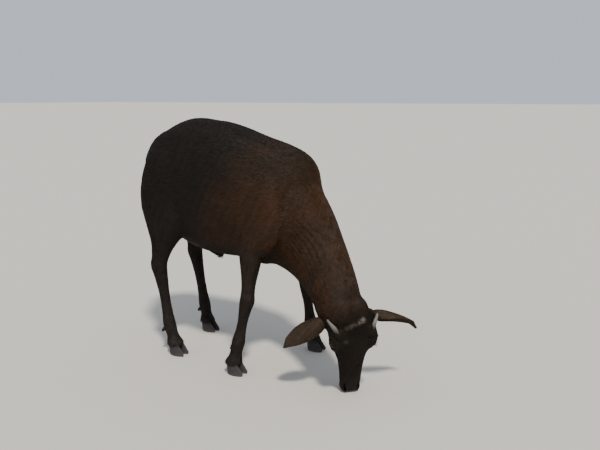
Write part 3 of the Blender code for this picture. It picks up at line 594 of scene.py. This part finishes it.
def lay_tufts(name, node, root, up, way, size, tree, rng, look):
    """Tufts as thin blades that lie along the skin, in pieces of fewer than MOST_TUFTS."""
    up = up / np.linalg.norm(up, axis=1)[:, None]
    clump = wave(root * 60) * 0.30 + wave(root * 170 + 5) * 0.25
    turn = clump + rng.normal(0, 0.13 + 60 * np.maximum(size[:, 3] - 0.002, 0))
    way = way - (way * up).sum(axis=1)[:, None] * up
    way = way / np.maximum(np.linalg.norm(way, axis=1), 1e-9)[:, None]
    way = np.cos(turn)[:, None] * way + np.sin(turn)[:, None] * np.cross(up, way)
    length = size[:, 1] * rng.uniform(*LENGTHS, len(root))
    width = size[:, 2] * rng.uniform(*WIDTHS, len(root))
    lift = size[:, 3] * rng.uniform(*LIFTS, len(root))
    roll = rng.normal(0, ROLL, len(root))
    across = np.cos(roll)[:, None] * np.cross(up, way) + np.sin(roll)[:, None] * up
    found = [tree.find_nearest(p) for p in root + length[:, None] * way]
    tip = np.array([f[0] for f in found])
    tip_up = np.array([f[1] for f in found])
    past = np.array([f[3] for f in found]) > 0.4 * length
    tip[past] = (root + length[:, None] * way)[past]
    tip_up[past] = up[past]
    bend = np.linalg.norm(tip_up - up, axis=1) * np.linalg.norm(tip - root, axis=1) / 8
    middle = 0.5 * (root + tip) + (bend + 0.60 * lift)[:, None] * 0.5 * (up + tip_up)
    tip = tip + lift[:, None] * tip_up
    foot = root - (0.15 * lift)[:, None] * up
    points = np.stack([foot - (0.45 * width)[:, None] * across, foot + (0.45 * width)[:, None] * across,
                       middle - (0.5 * width)[:, None] * across, middle + (0.5 * width)[:, None] * across,
                       tip], axis=1)
    at_map = root_map(node, root)
    tone = 0.8 * rng.normal(0, 1, len(root)) + 0.9 * wave(root * 230 + 9)
    made = []
    pieces = max(1, math.ceil(len(root) / MOST_TUFTS))
    order = np.argsort(root[:, 1] if "torso" in name else root[:, 2])
    for number, chosen in enumerate(np.array_split(order, pieces)):
        label = name if pieces == 1 else f"{name}_{number + 1}"
        uv = at_map[chosen, None, :] + BLADE_PATCH[None]
        made.append(tuft_object(label, points[chosen], BLADE_FACES, uv, tone[chosen], look))
    return made


def tuft_object(name, points, faces, uv, tone, look):
    count, per = len(points), points.shape[1]
    corners = (faces[None] + per * np.arange(count)[:, None, None]).reshape(-1)
    mesh = bpy.data.meshes.new(name)
    mesh.vertices.add(count * per)
    mesh.vertices.foreach_set("co", points.astype(np.float32).ravel())
    total = count * len(faces)
    mesh.loops.add(total * 3)
    mesh.loops.foreach_set("vertex_index", corners.astype(np.int32))
    mesh.polygons.add(total)
    mesh.polygons.foreach_set("loop_start", np.arange(0, total * 3, 3, dtype=np.int32))
    layer = mesh.uv_layers.new(name="OFBake")
    layer.data.foreach_set("uv", uv.reshape(-1, 2)[corners].astype(np.float32).ravel())
    shade = mesh.attributes.new("tone", "FLOAT", "POINT")
    shade.data.foreach_set("value", np.repeat(tone, per).astype(np.float32))
    mesh.update()
    mesh.validate()
    mesh.shade_smooth()
    mesh.materials.append(look)
    return new_object(name, mesh)


def wave(points):
    """A smooth noise from -1 to 1, made of sines that cross."""
    x, y, z = points.T
    first = np.sin(1.3 * x + 2.1 * np.sin(0.7 * y + 0.4 * z))
    second = np.cos(1.1 * z - 0.9 * x + 1.7 * np.sin(0.8 * y))
    third = np.sin(0.9 * y + 1.4 * np.sin(1.1 * x - 0.6 * z))
    return (first * second + third) * 0.5


def root_map(node, root):
    """Where each root lies on the unrolled node: round its axis, and along it."""
    kind = kind_of(node.name)
    way = ear_way(side_of(node.name)) if kind == "ear" else COAT_AXES.get(kind, UP)
    axis = np.array(way, float)
    axis /= np.linalg.norm(axis)
    side = np.cross(axis, (0.3, 0.9, 0.2))
    side /= np.linalg.norm(side)
    over = np.cross(axis, side)
    low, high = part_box(node.name)
    away = root - 0.5 * (np.array(low) + np.array(high))
    along = away @ axis
    round_it = np.arctan2(away @ over, away @ side) / (2 * math.pi) + 0.5
    along = (along - along.min()) / max(1e-9, along.max() - along.min())
    return 0.004 + 0.992 * np.column_stack([round_it, along])


# Eyes, horns and hooves

def eye_centre(side):
    return head_point(EYE_ALONG, side * EYE_SIDE, EYE_UP)


def horn_base(side):
    return head_point(HORN_ALONG, side * HORN_SIDE, HORN_UP)


def ear_root(side):
    return head_point(EAR_ROOT.x, side * EAR_ROOT.y, EAR_ROOT.z) + EAR_STEM * ear_way(side)


def build_eye(name, side, look):
    """The eyeball with a slight bulge of its clear front, its own X axis the way it looks.

    Its pupil is turned most of the way to the level, as a grazing sheep's is with its head down.
    """
    way, slit, _ = eye_frame(side)
    slit = Matrix.Rotation(side * PUPIL_TURN, 3, way) @ slit
    over = way.cross(slit)
    made = bmesh.new()
    bmesh.ops.create_uvsphere(made, u_segments=48, v_segments=32, radius=EYE_RADIUS - 0.0002)
    for vert in made.verts:
        off = math.hypot(vert.co.y, vert.co.z)
        if vert.co.x > 0 and off < FRONT_RADIUS:
            vert.co.x += FRONT_BULGE * (1 - (off / FRONT_RADIUS) ** 2)
    mesh = mesh_of(name, made)
    mesh.shade_smooth()
    mesh.materials.append(look)
    obj = new_object(name, mesh)
    turned = Matrix([way, slit, over]).transposed().to_4x4()
    obj.matrix_world = Matrix.Translation(eye_centre(side)) @ turned
    return obj


def build_lashes(name, side, skin, look):
    """A row of short fine lashes, rooted at the edge of the upper lid and curving out over the eye."""
    way, slit, over = eye_frame(side)
    over *= math.copysign(1, over.dot(HEAD_UP))
    mesh = skin.data
    corners = [v.co.copy() for v in mesh.vertices]
    tree = BVHTree.FromPolygons(corners, [tuple(p.vertices) for p in mesh.polygons])
    rng = np.random.default_rng(SEED + side)
    blades, places = [], []
    for i in range(LASHES):
        angle = math.radians(LASH_FREE + (180 - 2 * LASH_FREE) * (i + rng.uniform(0.2, 0.8)) / LASHES)
        at = eye_centre(side) + LASH_LONG * math.cos(angle) * slit + LASH_TALL * math.sin(angle) * over
        root = tree.ray_cast(at + 0.02 * way, -way)[0]
        if root is None:
            continue
        fan = math.cos(angle) + rng.normal(0, 0.12)
        lean = (0.80 * way + 0.35 * over + 0.45 * fan * slit).normalized()
        length = LASH_LENGTH * (0.65 + 0.35 * math.sin(angle)) * rng.uniform(0.8, 1.15)
        middle = root + 0.55 * length * lean
        tip = root + length * (0.85 * lean + 0.40 * over)
        across = 0.5 * LASH_WIDTH * lean.cross(over).normalized()
        foot = root - 0.0004 * way
        blades.append([foot - across, foot + across, middle - 0.8 * across, middle + 0.8 * across, tip])
        places.append((0.1 + 0.8 * i / LASHES, 0.5))
    uv = np.array(places)[:, None, :] + BLADE_PATCH[None]
    return tuft_object(name, np.array(blades), BLADE_FACES, uv, np.full(len(blades), LASH_TONE), look)


def horn_line(side):
    """The horn's curve as in its solid: points from inside the skull to the tip."""
    base = horn_base(side)
    way = head_way(HORN_WAY, side)
    hook = head_way(HORN_HOOK_WAY, side)
    line = [base + HORN_SUNK * head_way(HORN_ROOT_WAY, side)]
    for share in (0.0, 0.25, 0.5, 0.75, 1.0):
        line.append(base + share * HORN_LENGTH * way + HORN_HOOK * share ** 2 * hook)
    return [2 * line[0] - line[1], *line, 2 * line[-1] - line[-2]]


def curve_point(line, at):
    """A point of the Catmull-Rom curve through line[1:-1], whose spans are one long."""
    span = min(int(at), len(line) - 4)
    t = at - span
    a, b, c, d = line[span:span + 4]
    square = 2 * a - 5 * b + 4 * c - d
    cube = 3 * b - a - 3 * c + d
    return 0.5 * (2 * b + t * (c - a) + t * t * square + t ** 3 * cube)


def build_horn(name, side, look):
    """A small curved horn, ringed where it leaves the skin, with a blunt tip."""
    line = horn_line(side)
    spans = len(line) - 3
    rings, segments, round_from = HORN_RINGS, HORN_SEGMENTS, HORN_ROUND_FROM
    points, faces = [], []
    for i in range(rings + 1):
        at = spans * (i / rings)
        centre = curve_point(line, at)
        tangent = curve_point(line, min(spans, at + 0.05)) - curve_point(line, max(0, at - 0.05))
        tangent = tangent.normalized()
        share = max(0.0, (at - 1) / (spans - 1))  # of the part outside the skull
        sunk = max(0.0, 1 - at / 1.5)
        centre = centre + ROOT_PULL * sunk * head_way(HORN_ROOT_WAY, side)
        radius = HORN_RADIUS * (1 - 0.62 * share ** 1.3) * (1 - 0.30 * sunk)
        phase = share * HORN_LENGTH * 2 * math.pi / HORN_GROOVES
        grooves = math.sin(phase + 1.3 * math.sin(side + share * 9))
        radius *= 1 + 0.040 * grooves * max(0.0, 1 - share / 0.65)
        if share > round_from:
            radius *= math.sqrt(max(0.0, 1 - ((share - round_from) / (1 - round_from)) ** 2))
        across = (HEAD_ALONG - HEAD_ALONG.dot(tangent) * tangent).normalized()
        over = tangent.cross(across)
        for k in range(segments):
            angle = 2 * math.pi * k / segments
            points.append(centre + radius * (math.cos(angle) * across + 0.92 * math.sin(angle) * over))
    for i in range(rings):
        for k in range(segments):
            j = (k + 1) % segments
            faces.append((i * segments + k, i * segments + j, (i + 1) * segments + j, (i + 1) * segments + k))
    faces.append(tuple(reversed(range(segments))))
    faces.append(tuple(rings * segments + k for k in range(segments)))
    return mesh_object(name, points, faces, look)


def soft_copy(name, node, drawn_in, look):
    """A solid of hoof with its edges rounded, and drawn in towards its top."""
    obj = voxel_remesh(new_object(name, mesh_of(name, welded(node.data))), HOOF_VOXEL)
    points = points_of(obj.data)
    points = even_out(points, edges_of(obj.data), np.full(len(points), float(HOOF_ROUNDS)))
    points[:, 2] = np.maximum(points[:, 2], 0.0)
    middle = 0.5 * (points[:, :2].min(axis=0) + points[:, :2].max(axis=0))
    taper = drawn_in * np.clip((points[:, 2] - CLAW_NARROW_FROM) / CLAW_NARROW_OVER, 0, 1)
    points[:, :2] += taper[:, None] * (middle - points[:, :2])
    set_points(obj.data, points)
    obj.data.shade_smooth()
    obj.data.materials.append(look)
    return obj


# Materials

def material(name, colour, roughness, specular=0.5):
    made = bpy.data.materials.new(name)
    made.use_nodes = True
    shader = made.node_tree.nodes["Principled BSDF"]
    shader.inputs["Base Color"].default_value = (*colour, 1)
    shader.inputs["Roughness"].default_value = roughness
    shader.inputs["Specular IOR Level"].default_value = specular
    return made


class Tree:
    """Short ways to add and link the nodes of a material."""

    def __init__(self, made):
        self.tree = made.node_tree
        self.shader = self.tree.nodes["Principled BSDF"]

    def node(self, kind, **values):
        made = self.tree.nodes.new(kind)
        for name, value in values.items():
            setattr(made, name, value)
        return made

    def link(self, source, target):
        self.tree.links.new(source, target)

    def place(self):
        return self.node("ShaderNodeTexCoord").outputs["Object"]

    def parts(self):
        """The X, Y and Z of a place."""
        made = self.node("ShaderNodeSeparateXYZ")
        self.link(self.place(), made.inputs[0])
        return made.outputs

    def noise(self, scale, detail=3.0, stretch=None):
        made = self.node("ShaderNodeTexNoise")
        made.inputs["Scale"].default_value = scale
        made.inputs["Detail"].default_value = detail
        place = self.place()
        if stretch:
            mapping = self.node("ShaderNodeMapping")
            mapping.inputs["Scale"].default_value = stretch
            self.link(place, mapping.inputs["Vector"])
            place = mapping.outputs["Vector"]
        self.link(place, made.inputs["Vector"])
        return made.outputs["Fac"]

    def ramp(self, source, low, high):
        """0 at low, 1 at high."""
        made = self.node("ShaderNodeMapRange", clamp=True, interpolation_type="SMOOTHSTEP")
        made.inputs["From Min"].default_value = low
        made.inputs["From Max"].default_value = high
        self.link(source, made.inputs["Value"])
        return made.outputs["Result"]

    def math(self, operation, a, b):
        made = self.node("ShaderNodeMath", operation=operation)
        for value, socket in ((a, made.inputs[0]), (b, made.inputs[1])):
            if isinstance(value, (int, float)):
                socket.default_value = value
            else:
                self.link(value, socket)
        return made.outputs[0]

    def mix(self, share, a, b, blend="MIX"):
        made = self.node("ShaderNodeMix", data_type="RGBA", blend_type=blend)
        for value, socket in ((share, made.inputs["Factor"]), (a, made.inputs["A"]), (b, made.inputs["B"])):
            if isinstance(value, tuple):
                socket.default_value = (*value, 1)
            elif isinstance(value, (int, float)):
                socket.default_value = value
            else:
                self.link(value, socket)
        return made.outputs["Result"]

    def mix_value(self, share, a, b):
        return self.math("ADD", self.math("MULTIPLY", share, b - a), a)

    def distance(self, centre):
        made = self.node("ShaderNodeVectorMath", operation="DISTANCE")
        self.link(self.place(), made.inputs[0])
        made.inputs[1].default_value = centre
        return made.outputs["Value"]

    def bump(self, height, strength, distance):
        made = self.node("ShaderNodeBump")
        made.inputs["Strength"].default_value = strength
        made.inputs["Distance"].default_value = distance
        self.link(height, made.inputs["Height"])
        self.link(made.outputs["Normal"], self.shader.inputs["Normal"])


BLACK_BROWN = (0.0125, 0.0084, 0.0062)
RED_BROWN = (0.0480, 0.0205, 0.0080)
BROWN = (0.0350, 0.0185, 0.0090)
FACE_BLACK = (0.0135, 0.0091, 0.0058)
EAR_BROWN = (0.0410, 0.0260, 0.0150)
LEG_BROWN = (0.0190, 0.0140, 0.0105)
# painted highlight: the grey of the sun's sheen on the poll hair
POLL_SHEEN = (0.2500, 0.2200, 0.1880)
MUZZLE_GREY = (0.0210, 0.0170, 0.0140)
POLL_SHEEN_SPOTS = (  # along the head, to its left, radius, strength: a painted highlight, the sun's sheen on the poll hair, as a slanting streak between the horns and a spot over the right brow
    (0.021, -0.018, 0.009, 0.6), (0.018, -0.010, 0.011, 0.9), (0.015, -0.002, 0.011, 0.9),
    (0.012, 0.006, 0.011, 0.9), (0.009, 0.014, 0.010, 0.75), (0.052, -0.019, 0.011, 0.28))

COAT_ROUGHNESS = 0.60
NOSE_ROUGHNESS = 0.34
PUPIL_BLACK = (0.003, 0.003, 0.004)
EYE_RIM = (0.012, 0.008, 0.006)
IRIS = ((0.016, 0.008, 0.004), (0.044, 0.022, 0.009))  # dark and light fibres
HORN_GREYS = ((0.085, 0.077, 0.068), (0.190, 0.176, 0.158))
# painted shade of the hair round a horn's root
HORN_ROOT = (0.035, 0.028, 0.022)
HOOF_GREYS = ((0.024, 0.020, 0.021), (0.062, 0.053, 0.054))
HOOF_WORN = (0.105, 0.092, 0.084)
HOOF_TOP = (0.016, 0.012, 0.010)
UNDERSIDE_BLACK_AND_SHADE = (  # nodes darkened about their middle, and the height of that place: partly the black hair of belly and upper forelegs, partly painted shade under the body
    ("leg_front_right", 0.19), ("leg_front_left", 0.19), ("torso", 0.22))


def markings(tree):
    """The coat's colour by place: black-brown, redder over shoulder and neck, darker under the body (black hair
    and painted shade), and a grey painted sheen highlight on the poll.
    """
    neck = tree.ramp(tree.distance(tuple(NECK_MIDDLE)), 0.30, 0.12)
    patches = tree.ramp(tree.noise(9.0, 3.0), 0.40, 0.62)
    colour = tree.mix(neck, BLACK_BROWN, BROWN)
    colour = tree.mix(tree.math("MULTIPLY", neck, patches), colour, RED_BROWN)
    # darker under the body and over the upper forelegs: partly black hair, partly painted shade
    for name, height in UNDERSIDE_BLACK_AND_SHADE:
        low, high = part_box(name)
        middle = (0.5 * (low.x + high.x), 0.5 * (low.y + high.y), height)
        dark = tree.ramp(tree.distance(middle), 0.135, 0.070)
        colour = tree.mix(tree.math("MULTIPLY", dark, 0.8), colour, BLACK_BROWN)
    feet = tree.ramp(tree.parts()["Z"], 0.20, 0.10)
    colour = tree.mix(tree.math("MULTIPLY", feet, 0.8), colour, LEG_BROWN)
    face = tree.ramp(tree.distance(tuple(head_point(0.11, 0, -0.03))), 0.125, 0.085)
    colour = tree.mix(face, colour, FACE_BLACK)
    nose = tree.ramp(tree.distance(tuple(head_point(0.19, 0, -0.03))), 0.055, 0.030)
    colour = tree.mix(nose, colour, MUZZLE_GREY)
    for side in SIDES.values():
        for along, radius in ((0.035, 0.036), (0.085, 0.040)):
            middle = tuple(ear_root(side) + along * ear_way(side))
            ear = tree.ramp(tree.distance(middle), radius, 0.75 * radius)
            colour = tree.mix(ear, colour, EAR_BROWN)
    wisps = tree.ramp(tree.noise(240.0, 2.0), 0.28, 0.56)
    # painted highlight: the sun's sheen on the poll hair, as grey spots broken up by fine wisps
    for along, side, radius, share in POLL_SHEEN_SPOTS:
        grey = tree.ramp(tree.distance(tuple(head_point(along, side, -0.004))), radius, 0.3 * radius)
        grey = tree.math("MULTIPLY", tree.math("MULTIPLY", grey, wisps), share)
        colour = tree.mix(grey, colour, POLL_SHEEN)
    return colour


def coat_material(name, tufts):
    made = material(name, BLACK_BROWN, COAT_ROUGHNESS, 0.16)
    tree = Tree(made)
    colour = markings(tree)
    if tufts:
        tone = tree.node("ShaderNodeAttribute", attribute_name="tone").outputs["Fac"]
        bright = tree.math("MAXIMUM", tree.math("ADD", tree.math("MULTIPLY", tone, 0.26), 1.0), 0.3)
        colour = tree.mix(1.0, colour, bright, "MULTIPLY")
    else:
        tree.bump(tree.noise(700.0, 2.0), 0.5, 0.0006)
        nose = tree.ramp(tree.distance(tuple(head_point(0.20, 0, -0.035))), 0.030, 0.018)
        tree.link(tree.mix_value(nose, COAT_ROUGHNESS, NOSE_ROUGHNESS), tree.shader.inputs["Roughness"])
    tree.link(colour, tree.shader.inputs["Base Color"])
    return made


def eye_material():
    """A dark brown iris with a wide flat pupil, wet."""
    made = material("eye", IRIS[0], 0.05)
    made.node_tree.nodes["Principled BSDF"].inputs["IOR"].default_value = 1.22
    tree = Tree(made)
    y, z = (tree.parts()[axis] for axis in "YZ")
    long = tree.math("POWER", tree.math("DIVIDE", y, PUPIL_LONG), 2.0)
    tall = tree.math("POWER", tree.math("DIVIDE", z, PUPIL_TALL), 2.0)
    pupil = tree.ramp(tree.math("ADD", long, tall), 1.15, 0.85)
    off = tree.math("ADD", tree.math("POWER", y, 2.0), tree.math("POWER", z, 2.0))
    rim = tree.ramp(off, IRIS_FROM ** 2, IRIS_TO ** 2)
    iris = tree.mix(tree.noise(900.0, 2.0), *IRIS)
    colour = tree.mix(rim, iris, EYE_RIM)
    tree.link(tree.mix(pupil, colour, PUPIL_BLACK), tree.shader.inputs["Base Color"])
    return made


def horn_material():
    """Painted shade where it leaves the hair, darkening its root; light grey and a little streaked to the tip."""
    made = material("horn", HORN_GREYS[1], 0.50, 0.3)
    tree = Tree(made)
    colour = tree.mix(tree.noise(160.0, 3.0), *HORN_GREYS)
    # painted shade: each horn's root darkened where the hair shades it
    for side in SIDES.values():
        root = tree.ramp(tree.distance(tuple(horn_base(side))), 0.024, 0.007)
        colour = tree.mix(tree.math("MULTIPLY", root, 0.85), colour, HORN_ROOT)
    tree.link(colour, tree.shader.inputs["Base Color"])
    tree.bump(tree.noise(420.0, 3.0), 0.25, 0.0005)
    return made


def hoof_material():
    """Grey horn with faint bands, darker under the fringe and scuffed at the sole."""
    made = material("hoof", HOOF_GREYS[1], 0.60, 0.15)
    tree = Tree(made)
    streaks = tree.noise(90.0, 4.0, (1.0, 1.0, 4.0))
    colour = tree.mix(streaks, *HOOF_GREYS)
    height = tree.parts()["Z"]
    worn = tree.ramp(height, 0.009, 0.001)
    colour = tree.mix(tree.math("MULTIPLY", worn, 0.55), colour, HOOF_WORN)
    top = tree.ramp(height, 0.016, 0.030)
    colour = tree.mix(tree.math("MULTIPLY", top, 0.85), colour, HOOF_TOP)
    tree.link(colour, tree.shader.inputs["Base Color"])
    tree.bump(tree.noise(300.0, 3.0, (0.4, 0.4, 3.0)), 0.3, 0.0006)
    return made


# Light and camera

def light_scene():
    corners = [(x * FLOOR_HALF, y * FLOOR_HALF, 0) for x, y in ((-1, -1), (1, -1), (1, 1), (-1, 1))]
    floor_look = material("floor", FLOOR_COLOUR, 0.9, 0.1)
    floor = mesh_object("floor", corners, [(0, 1, 2, 3)], floor_look, smooth=False)
    sun = new_object("sun", bpy.data.lights.new("sun", "SUN"))
    sun.data.energy = SUN_STRENGTH
    sun.data.angle = SUN_SPREAD
    sun.data.color = SUN_COLOUR
    level = Vector((math.cos(SUN_AZIMUTH), math.sin(SUN_AZIMUTH), 0))
    way = math.cos(SUN_HEIGHT) * level + math.sin(SUN_HEIGHT) * UP
    sun.rotation_euler = way.to_track_quat("Z", "Y").to_euler()
    world = bpy.data.worlds.new("sky")
    world.use_nodes = True
    background = world.node_tree.nodes["Background"]
    background.inputs["Color"].default_value = SKY_COLOUR
    background.inputs["Strength"].default_value = SKY_STRENGTH
    bpy.context.scene.world = world


def place_camera():
    """The photo's camera: level to the side, looking down a little."""
    camera = new_object("camera", bpy.data.cameras.new("camera"))
    camera.data.lens = CAMERA_LENS
    camera.data.sensor_width = SENSOR
    ahead = Vector((-math.sin(CAMERA_YAW), math.cos(CAMERA_YAW), 0))
    ahead = math.cos(CAMERA_PITCH) * ahead - math.sin(CAMERA_PITCH) * UP
    camera.location = CAMERA_PLACE + SHIFT
    camera.rotation_euler = (-ahead).to_track_quat("Z", "Y").to_euler()
    bpy.context.scene.camera = camera


new_scene()
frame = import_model()
nodes = frame["nodes"]
first_poll = MUZZLE - HEAD_LENGTH * HEAD_ALONG + MUZZLE_DROP * HEAD_UP
POLL = first_poll
low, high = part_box("eye_left")
SHIFT = 0.5 * (low + high) - eye_centre(1)
POLL = first_poll + SHIFT
NECK_MIDDLE = Vector((0.215, -0.010, 0.300)) + SHIFT

coat_look = coat_material("coat", tufts=True)
skin_look = coat_material("skin", tufts=False)
flesh = [nodes[name] for name in sorted(nodes) if name.startswith(tuple(COAT))]
skin = build_skin(flesh, skin_look)
coat = build_coat(skin, flesh, coat_look)
coat += [build_lashes("lashes_" + name, side, skin, coat_look) for name, side in SIDES.items()]
for piece in [skin, *coat]:
    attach(piece, "root")
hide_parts(*[node.name for node in flesh])

eye_look, horn_look, hoof_look = eye_material(), horn_material(), hoof_material()
for name, side in SIDES.items():
    eye = build_eye("eye_ball_" + name, side, eye_look)
    horn = build_horn(f"horn_{name}_ringed", side, horn_look)
    for kind, piece in (("eye", eye), ("horn", horn)):
        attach(piece, "root")
        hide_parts(f"{kind}_{name}")
for name in sorted(nodes):
    if name.startswith(("claw", "dewclaw")):
        drawn_in = CLAW_DRAWN_IN if name.startswith("claw") else 0.0
        piece = soft_copy(name + "_horn", nodes[name], drawn_in, hoof_look)
        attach(piece, "root")
        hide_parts(name)

light_scene()
place_camera()
